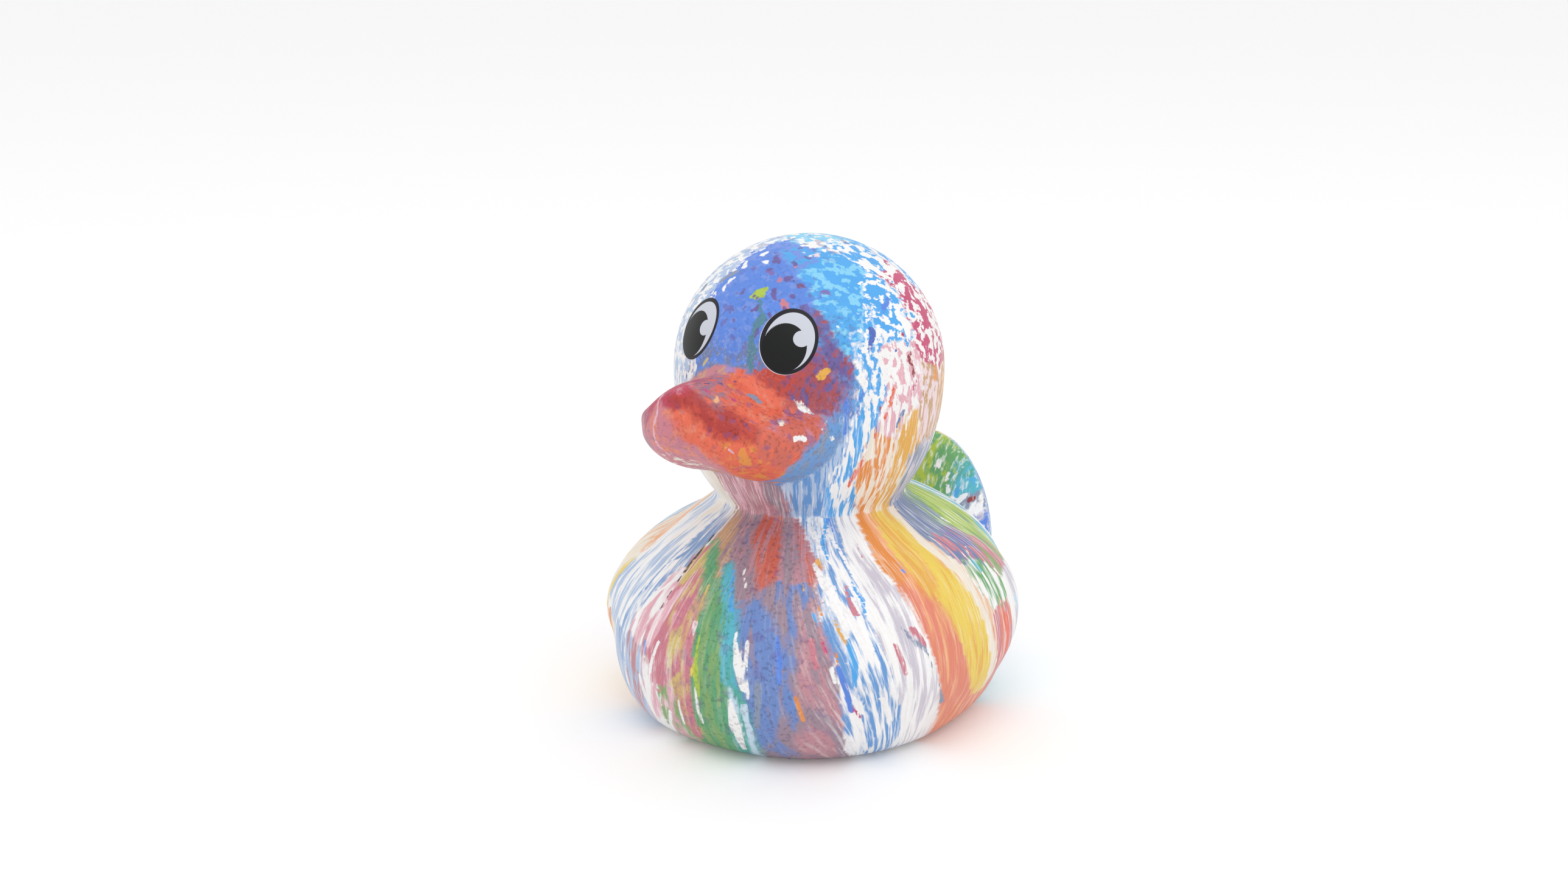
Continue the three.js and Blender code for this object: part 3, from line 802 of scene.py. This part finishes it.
def flowOnBody(p):  # and pulled into long streaks that fan out over the body
    out, neck, fall, start = flowing["body"]
    edge, span = flowing["shoulder"]
    fallen = placeOnBody(p)[1]
    centred = p[:, 1] - head["setBack"] * np.clip((edge - fallen) / span, 0, 1)
    turned = np.degrees(np.arctan2(p[:, 0], -centred))
    lean = sum(amount * hump(turned - middle, width) for amount, middle, width in flowing["leans"])
    turned = np.radians(turned - lean * np.maximum(fallen - flowing["leanFrom"], 0))
    down = fallOnHead(neck) - fall * (fallen - start)
    return np.stack([out * np.sin(turned), -out * np.cos(turned), down], -1)


# What each form carries. Its fields' edges wander by two amounts, low down and high up, and unit is
# the length in mm of one unit of its chart.
bodyFilm = {
    "forms": ("tub", "wingLeft", "wingRight"), "place": placeOnBody, "chart": onPlain, "flow": flowOnBody,
    "ground": bodyGround, "marks": bodyMarks, "wander": (1.4, 1.4), "unit": 0.55, "wraps": True,
}
headFilm = {
    "forms": ("head",), "place": placeOnHead, "chart": onSphere, "flow": flowOnHead,
    "ground": headGround, "marks": headMarks, "wander": (1.2, 3.0), "unit": 0.39, "wraps": False,
}
billFilm = {
    "forms": ("bill",), "place": placeOnBill, "chart": onLip, "flow": lambda p: p * flowing["bill"],
    "ground": billGround, "marks": billMarks, "wander": (1.2, 1.2), "unit": 1, "wraps": False,
}
tailFilm = {
    "forms": ("tail",), "place": lambda p: (p[:, 0], p[:, 2]), "chart": onPlain,
    "flow": lambda p: p * flowing["tail"],
    "ground": tailGround, "marks": tailMarks, "wander": (1.0, 1.0), "unit": 1, "wraps": False,
}
films = [bodyFilm, headFilm, billFilm, tailFilm]


def wandering(points, size, seed):  # slow noise at each point, from about -1 to 1
    shifts = [Vector((seed, shift, 0)) for shift in (0, 37, 71)]
    return np.array([[noise.noise(Vector(p) / size + shift) for shift in shifts] for p in points])


def depthInField(places, line, widths, wraps):  # how far inside a painted path each point lies
    best = np.full(len(places), -1e9)
    for start, end, wide, wider in zip(line, line[1:], widths, widths[1:]):
        step = end - start
        offset = places - start
        if wraps:
            offset[:, 0] = (offset[:, 0] + 180) % 360 - 180
        share = np.clip(offset @ step / max(step @ step, 1e-9), 0, 1)
        away = np.linalg.norm(offset - share[:, None] * step, axis=1)
        best = np.maximum(best, wide + (wider - wide) * share - away)
    return best


def depthsInFields(film, places, paths):
    depths = []
    for path in paths:
        path = np.reshape(path * 2 if len(path) == 3 else path, (-1, 3)).astype(float)
        line = film["chart"](path[:, 0], path[:, 1])
        depths.append(depthInField(places, line, path[:, 2], film["wraps"]))
    return np.array(depths)


def area(*spans):  # 1 inside a block of angles and 0 outside, softly
    return np.exp(-sum(((angles - middle) / half) ** 4 for angles, middle, half in spans))


def below(values, level, reach):
    return np.clip((level - values) / reach, 0, 1)


def grainAt(points, distance):  # specks, strands, softness and dots of the film
    turned, fallen = placeOnBody(points)
    headTurned, headFallen = placeOnHead(points)
    onBody = below(points[:, 2], *grains["bodyBelow"])
    onHead = 1 - onBody
    billward = np.minimum(distance["bill"] - distance["head"], distance["bill"])
    show = {
        "body": onBody,
        "bill": np.clip(1 - billward / grains["billReach"], 0, 1),
        "crown": below(headFallen, *grains["crownAbove"]),
    }
    for name in ("chest", "band"):
        show[name] = area((turned, *areas[name])) * onBody
    for name in ("besideEye", "forehead"):
        show[name] = area((headTurned, *areas[name][:2]), (headFallen, *areas[name][2:])) * onHead
    start, reach = grains["streaksFrom"]
    streaks = onBody * (1 - 0.85 * show["chest"] - 0.7 * show["band"])
    streaks = streaks + onHead * np.clip((headFallen - start) / reach, 0, 1) * 0.8 * (1 - show["besideEye"])
    specks, softness, dots = [sum(amount * show[name] for name, amount in grains[kind].items())
                              for kind in ("specks", "softness", "dots")]
    strands = np.clip(streaks, 0, 1) * (1 - show["bill"])
    return np.column_stack([np.clip(share, 0, 1) for share in (specks, strands, softness, dots)])


def layGround(layers, film, here, places, wide):  # a point takes the field that it lies deepest in
    ground = film["ground"]
    depths = depthsInFields(film, places, [row[3:] for row in ground])
    first, second = np.argsort(-depths, axis=0)[:2]
    columns = np.arange(len(here))
    shades, flecks = (shadesOf(row[column] for row in ground) for column in (0, 1))
    amounts = np.array([row[2] for row in ground])
    margin = (depths[first, columns] - depths[second, columns]) / 2
    layers["filmGround"][here] = np.column_stack([shades[first], margin / wide])
    layers["filmRival"][here] = np.column_stack([shades[second], np.zeros(len(here))])
    layers["filmFleck"][here] = np.column_stack([flecks[first], amounts[first]])


def layCoats(layers, film, here, places):
    for coat, marks in enumerate(film["marks"]):
        names, paths = zip(*[(name, path) for name in marks for path in marks[name]])
        depths = depthsInFields(film, places, paths)
        shades = shadesOf(names)[depths.argmax(axis=0)]
        layers[f"filmCoat{coat}"][here] = np.column_stack([shades, depths.max(axis=0) * film["unit"]])


def layFilm(points, distance):  # colour layers for each point of the moulding
    count = len(points)
    vinyl = np.tile((*linear(filmColours["vinyl"]), 0), (count, 1))
    layers = {name: vinyl.copy() for name in ("filmGround", "filmRival", "filmFleck")}
    layers["filmGround"][:, 3] = laying["bareMargin"]
    for coat in range(laying["coats"]):
        layers[f"filmCoat{coat}"] = np.tile(laying["bareCoat"], (count, 1))
    layers["filmFlow"] = np.zeros((count, 4))
    layers["filmGrain"] = grainAt(points, distance)

    nearest = np.array([np.min([distance[form] for form in film["forms"]], axis=0) for film in films])
    chosen, outside = nearest.argmin(axis=0), nearest.min(axis=0) < laying["outside"]
    climbed = np.arccos(np.clip(1 - (points[:, 2] - tail["start"][1]) / tail["climb"], -1, 1))
    behind = points[:, 1] > tail["start"][0] + tail["run"] * np.sin(climbed)
    chosen[(chosen == films.index(tailFilm)) & behind] = films.index(bodyFilm)
    for number, film in enumerate(films):
        here = np.flatnonzero(chosen == number)
        flow = film["flow"](points[here])
        layers["filmFlow"][here, :3] = flow
        here, flow = here[outside[here]], flow[outside[here]]
        places = film["chart"](*film["place"](points[here]))
        wide = np.interp(points[here, 2], laying["wanderLevels"], film["wander"])
        drift = sum(strength * wandering(flow, size, seed) for size, seed, strength in laying["drift"])
        places = places + wide[:, None] * drift[:, :places.shape[1]]
        layGround(layers, film, here, places, wide)
        layCoats(layers, film, here, places)
    return layers


layers = layFilm(np.array([vert.co for vert in shell.verts]), reachOfForms(shell, outerForms))
print("film laid on", len(shell.verts), "points")


class Wire:  # a socket that can be used in an expression
    def __init__(self, finish, socket):
        self.finish = finish
        self.socket = socket

    def maths(self, operation, *values):
        return self.finish.add("Math", {"operation": operation}, dict(enumerate(values)))

    def __add__(self, other):
        return self.maths("ADD", self, other)

    __radd__ = __add__

    def __sub__(self, other):
        return self.maths("SUBTRACT", self, other)

    def __rsub__(self, other):
        return self.maths("SUBTRACT", other, self)

    def __mul__(self, other):
        return self.maths("MULTIPLY", self, other)

    __rmul__ = __mul__

    def root(self):
        return self.maths("SQRT", self)

    def sine(self):
        return self.maths("SINE", self)

    def least(self, other):
        return self.maths("MINIMUM", self, other)

    def above(self, level, softness):  # 0 below a level and 1 above it, with a soft step
        return self.finish.add("MapRange", {"interpolation_type": "SMOOTHSTEP"},
                               {"Value": self, "From Min": level - softness, "From Max": level + softness})


class Finish:  # a material or a sky, built around its main shader
    def __init__(self, owner, shader="Principled BSDF"):
        owner.use_nodes = True
        self.owner = owner
        self.tree = owner.node_tree
        self.shader = self.tree.nodes[shader]

    def feed(self, socket, value):
        if isinstance(value, Wire):
            self.tree.links.new(value.socket, socket)
        else:
            socket.default_value = value

    def add(self, kind, settings=None, inputs=None, output=0):
        node = self.tree.nodes.new("ShaderNode" + kind)
        for key, value in (settings or {}).items():
            setattr(node, key, value)
        for key, value in (inputs or {}).items():
            self.feed(node.inputs[key], value)
        return Wire(self, node.outputs[output])

    def set(self, **values):  # Base_Color=... and so on
        for key, value in values.items():
            self.feed(self.shader.inputs[key.replace("_", " ")], value)

    def mix(self, first, second, share):  # the second is a wire or a screen colour
        second = second if isinstance(second, Wire) else (*linear(second), 1)
        return self.add("Mix", {"data_type": "RGBA"}, {0: share, 6: first, 7: second}, 2)

    def vector(self, operation, first, second, output=0):
        return self.add("VectorMath", {"operation": operation}, {0: first, 1: second}, output)

    def scaled(self, vector, factor):
        return self.add("VectorMath", {"operation": "SCALE"}, {0: vector, "Scale": factor})

    def cloud(self, vector, scale, detail, roughness, shift=0.0):
        moved = self.vector("ADD", vector, (shift, 1.7 * shift, 0))
        return self.add("TexNoise", {},
                        {"Vector": moved, "Scale": scale, "Detail": detail, "Roughness": roughness})

    def bump(self, height, strength, distance):
        return self.add("Bump", {}, {"Strength": strength, "Distance": distance, "Height": height})


eye = {                       # each oval: middle and half sizes in mm, lean in degrees, softness in mm
    "turns": (25.5, -25),     # left and right eye, from the bill, in degrees
    "rise": 22,
    "rim": ((-0.12, 0.0), (4.49, 5.26), 15.7, 0.035),
    "ring": ((-0.03, 0.05), (4.49, 5.26), 15.7, 0.04),
    "white": ((0.04, -0.01), (3.86, 4.66), 17.4, 0.035),
    "pupil": ((-0.69, -1.01), (3.52, 3.84), 10.4, 0.035),
    "glint": ((1.95, 0.44), (1.3, 1.28), 0, 0.035),
    "rimColour": (232, 232, 236),
    "ringColour": (24, 22, 32),
    "whiteColour": (204, 208, 218),
    "pupilColour": (6, 9, 10),
    "depth": (12, 0.5),       # mm from the head's middle past which the print lies
    "teeth": (26, 0.07),      # the pupil's ragged upper edge: turns of its wave to a mm, and height
    "teethFrom": (3.6, 1.2),
}


def printEye(film, place, paint, turned):
    turned, rise = math.radians(turned), math.radians(eye["rise"])
    ahead = Vector((math.sin(turned) * math.cos(rise), -math.cos(turned) * math.cos(rise), math.sin(rise)))
    right = Vector((math.cos(turned), math.sin(turned), 0))
    middle = toFrame @ Vector((0, head["setBack"], head["level"]))
    fromMiddle = film.vector("SUBTRACT", place, middle)

    def along(direction):  # in mm
        return film.vector("DOT_PRODUCT", fromMiddle, direction * 1000, 1)

    across, up = along(right), along(ahead.cross(right))
    facing = along(ahead).above(*eye["depth"])

    def inside(name, ragged=0):
        (x, y), (wide, tall), lean, softness = eye[name]
        lean = math.radians(lean)
        dx, dy = across - x, up - y
        u = dx * (math.cos(lean) / wide) - dy * (math.sin(lean) / wide)
        v = dx * (math.sin(lean) / tall) + dy * (math.cos(lean) / tall)
        depth = (1 - (u * u + v * v).root()) * ((wide + tall) / 2)
        return (depth + ragged).above(0, softness)

    turns, height = eye["teeth"]
    teeth = ((across * 0.8 + up * 0.6) * turns).sine() * (up - across).above(*eye["teethFrom"]) * height
    for name in ("rim", "ring", "white"):
        paint = film.mix(paint, eye[name + "Colour"], inside(name) * facing)
    return film.mix(paint, eye["pupilColour"], inside("pupil", teeth) * (1 - inside("glint")) * facing)


printed = {                   # noise: scale, detail, roughness, shift
    "ragged": (0.5, 4, 0.55, 3.1),
    "blots": (0.58, 3.5, 0.55, 9.7),
    "strand": (1.7, 3, 0.6, 21.3),
    "strandStretch": (1, 1, 0.45),
    "coatEdge": (1.3, 3, 0.6),
    "coatShifts": (13, 17, 21),
    "wash": (0.16, 2, 0.5, 5.3),
    "dots": (560, 1.5, 0.5, 0.07),
    "grain": (5200, 2, 0.6),
    "speck": (1700, 1, 0.5),
    "borderRagged": (9, 6),   # where fields meet: on crisp film, and how much less on soft film
    "borderSoft": (0.22, 0.7),
    "fleckCut": (0.635, 0.03),
    "fleckSoft": 0.07,
    "coatRagged": 0.8,
    "coatCut": (0, 0.11),
    "strandCut": (0.58, 0.07),
    "strandColour": (244, 243, 242),
    "strandStrength": 0.55,
    "dotCut": (0.63, 0.03),
    "dotColour": (112, 88, 150),
    "dotStrength": 0.85,
    "speckCut": (0.61, 0.09),
    "speckStrength": 0.28,
    "shade": (0.93, 0.14, 0.22, 0.35),                # level, then what wash, grain and strand change
    "roughness": (0.42, 0.1),
    "bump": (0.12, 0.00006),
}


def filmFinish():
    film = Finish(bpy.data.materials.new("printedVinyl"))
    place = film.add("TexCoord", output=3)
    flow = film.add("Attribute", {"attribute_name": "filmFlow"}, output=1)

    def layer(name):
        return [film.add("Attribute", {"attribute_name": name}, output=number) for number in (0, 3)]

    ground, margin = layer("filmGround")
    rival, _ = layer("filmRival")
    fleck, amount = layer("filmFleck")
    grains, dotted = layer("filmGrain")
    specks, strands, softness = [film.add("SeparateColor", {}, {0: grains}, number) for number in range(3)]
    ragged, blots, wash = [film.cloud(flow, *printed[name]) for name in ("ragged", "blots", "wash")]
    grain, speck, dots = [film.cloud(place, *printed[name]) for name in ("grain", "speck", "dots")]
    strand = film.cloud(film.vector("MULTIPLY", flow, printed["strandStretch"]), *printed["strand"])

    crisp, softer = printed["borderRagged"]
    sharp, blurred = printed["borderSoft"]
    share = (ragged - 0.5) * (crisp - softness * softer) - margin
    paint = film.mix(ground, rival, share.above(0, sharp + softness * blurred))
    level, sharp = printed["fleckCut"]
    broken = (blots + amount * 0.26 - softness * 0.03).above(level, sharp + softness * printed["fleckSoft"])
    paint = film.mix(paint, fleck, broken)
    for coat, shift in enumerate(printed["coatShifts"]):
        colour, depth = layer(f"filmCoat{coat}")
        edge = film.cloud(flow, *printed["coatEdge"], shift)
        depth = depth + (edge - 0.5) * printed["coatRagged"]
        paint = film.mix(paint, colour, depth.above(*printed["coatCut"]))
    streaks = strand.above(*printed["strandCut"]) * strands * printed["strandStrength"]
    paint = film.mix(paint, printed["strandColour"], streaks)
    dots = dots.above(*printed["dotCut"]) * dotted * printed["dotStrength"]
    paint = film.mix(paint, printed["dotColour"], dots)
    level, washed, grained, drawn = printed["shade"]
    shade = level + wash * washed + (grain - 0.5) * grained + (strand - 0.5) * strands * drawn
    pitted = speck.above(*printed["speckCut"]) * specks * printed["speckStrength"]
    paint = film.scaled(paint, shade * (1 - pitted))
    for turned in eye["turns"]:
        paint = printEye(film, place, paint, turned)
    rough, rougher = printed["roughness"]
    film.set(Base_Color=paint, Roughness=rough + (grain - 0.5) * rougher, IOR=1.45, Specular_IOR_Level=0.36,
             Normal=film.bump(grain, *printed["bump"]))
    return film.owner


def plasticFinish(name, colour, roughness):
    plastic = Finish(bpy.data.materials.new(name))
    place = plastic.add("TexCoord", output=3)
    grain = plastic.cloud(place, 1800, 3, 0.6)
    wash = plastic.cloud(place, 120, 2, 0.5)
    plastic.set(Base_Color=plastic.scaled(linear(colour), 0.94 + wash * 0.08 + grain * 0.03),
                Roughness=roughness + (grain - 0.5) * 0.12, IOR=1.49,
                Normal=plastic.bump(grain, 0.15, 0.00004))
    return plastic.owner


def dressNode(name, material):
    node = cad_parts[name]
    if not node.material_slots:
        node.data.materials.append(None)
    for slot in node.material_slots:
        slot.material = material


bmesh.ops.transform(shell, matrix=toFrame, verts=shell.verts)
for face in shell.faces:
    face.smooth = True
duck = placed("duck_skin", shell)
for name, values in layers.items():
    layer = duck.data.attributes.new(name, "FLOAT_COLOR", "POINT")
    layer.data.foreach_set("color", values.astype(np.float32).ravel())
duck.data.materials.clear()
duck.data.materials.append(filmFinish())
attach(duck, "root")
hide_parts("duck_body")
print("duck dressed:", sum(len(p.vertices) - 2 for p in duck.data.polygons), "triangles")

squeakerWhite = plasticFinish("squeakerWhite", (236, 234, 228), 0.45)
dressNode("squeaker_housing", squeakerWhite)
dressNode("squeaker_cap", squeakerWhite)
dressNode("squeaker_reed", plasticFinish("reedWhite", (228, 222, 206), 0.25))
print("squeaker dressed")

studio = {
    "floorSize": 12,          # metres
    "floorColour": 0.93,
    "floorLift": 0.1,         # added for rays that see the floor, so that it reads white
    "sky": 0.89,
    "lampPower": 2.6,
    "lampPlace": (0.35, -0.3, 1.0),
    "lampAim": (0, 0, 0.04),
    "lampSize": 0.9,
}
camera = {"place": (178.243, -262.701, 130.363), "turn": (75, 0, 35), "lens": 45.42}


def makeFloor():
    plane = bmesh.new()
    bmesh.ops.create_grid(plane, x_segments=1, y_segments=1, size=studio["floorSize"] / 2)
    floor = placed("floor", plane)
    paper = Finish(bpy.data.materials.new("paper"))
    seen, glossy, through = [paper.add("LightPath", output=number) for number in (0, 3, 6)]
    lift = paper.scaled((studio["floorLift"],) * 3, (seen + glossy + through).least(1))
    paper.set(Base_Color=(*(studio["floorColour"],) * 3, 1), Roughness=0.9, Specular_IOR_Level=0.1,
              Emission_Strength=1, Emission_Color=lift)
    floor.data.materials.append(paper.owner)


def makeSky():
    sky = Finish(bpy.data.worlds.new("sky"), "Background")
    seen = sky.add("LightPath")
    sky.set(Color=(1, 1, 1, 1), Strength=studio["sky"] + seen * (1 - studio["sky"]))
    bpy.context.scene.world = sky.owner


def makeHolder(name, data, place):  # a lamp or a camera in the scene
    holder = bpy.data.objects.new(name, data)
    holder.location = place
    bpy.context.scene.collection.objects.link(holder)
    return holder


def makeLamp():
    lamp = bpy.data.lights.new("softbox", "AREA")
    lamp.energy = studio["lampPower"]
    lamp.size = studio["lampSize"]
    holder = makeHolder("softbox", lamp, studio["lampPlace"])
    aim = Vector(studio["lampAim"]) - holder.location
    holder.rotation_euler = aim.to_track_quat("-Z", "Y").to_euler()


def makeCamera():
    view = bpy.data.cameras.new("camera")
    view.lens = camera["lens"]
    holder = makeHolder("camera", view, toFrame @ Vector(camera["place"]))
    holder.rotation_euler = [math.radians(angle) for angle in camera["turn"]]
    bpy.context.scene.camera = holder


makeFloor()
makeSky()
makeLamp()
makeCamera()
bpy.context.scene.view_settings.view_transform = "Standard"
print("studio set")
